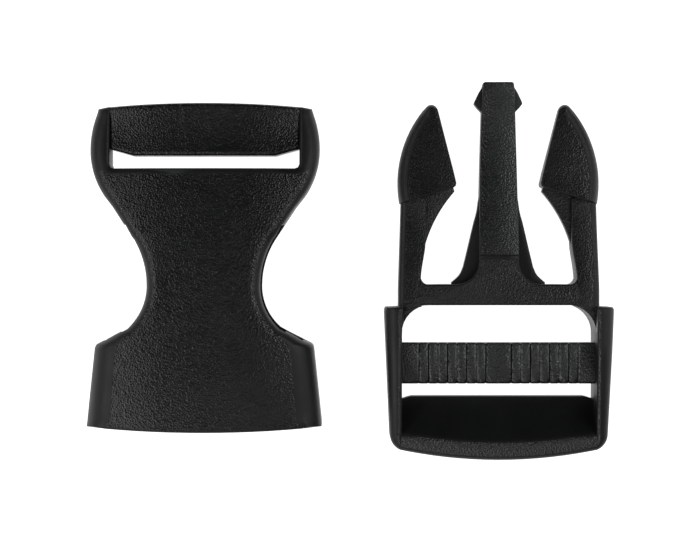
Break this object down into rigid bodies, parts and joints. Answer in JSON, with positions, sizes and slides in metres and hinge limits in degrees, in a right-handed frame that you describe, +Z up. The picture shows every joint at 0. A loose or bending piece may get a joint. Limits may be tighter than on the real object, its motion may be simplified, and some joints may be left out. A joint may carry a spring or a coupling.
{
  "type": "side release buckle",
  "caption": "Unfastened side release buckle: hourglass socket with a webbing bar, and plug with sprung barbed arms, a middle prong and a ladder-lock frame.",
  "frame": {"origin": "on the surface that both halves lie on, under the middle of the set", "axes": "+X from the socket towards the plug, +Y along both halves from mouth to webbing bar and from frame to prong tip, +Z up off the backs"},
  "size_m": [0.0702, 0.0505, 0.01],
  "materials": {
    "plastic": "black moulded plastic with a fine spark-eroded grain and satin rounded edges"
  },
  "bodies": {
    "body": {"socket": "plastic", "plug_frame": "plastic"},
    "left_arm": {"left_arm": "plastic"},
    "right_arm": {"right_arm": "plastic"}
  },
  "joints": [
    {"name": "left_squeeze", "type": "hinge", "parent": "body", "child": "left_arm", "pos_m": [0.00801, -0.00143, 0.005], "axis": [0, 0, -1], "range_deg": [0, 12], "stiffness_Nm_per_rad": 0.8},
    {"name": "right_squeeze", "type": "hinge", "parent": "body", "child": "right_arm", "pos_m": [0.03151, -0.00143, 0.005], "axis": [0, 0, 1], "range_deg": [0, 12], "stiffness_Nm_per_rad": 0.8}
  ]
}
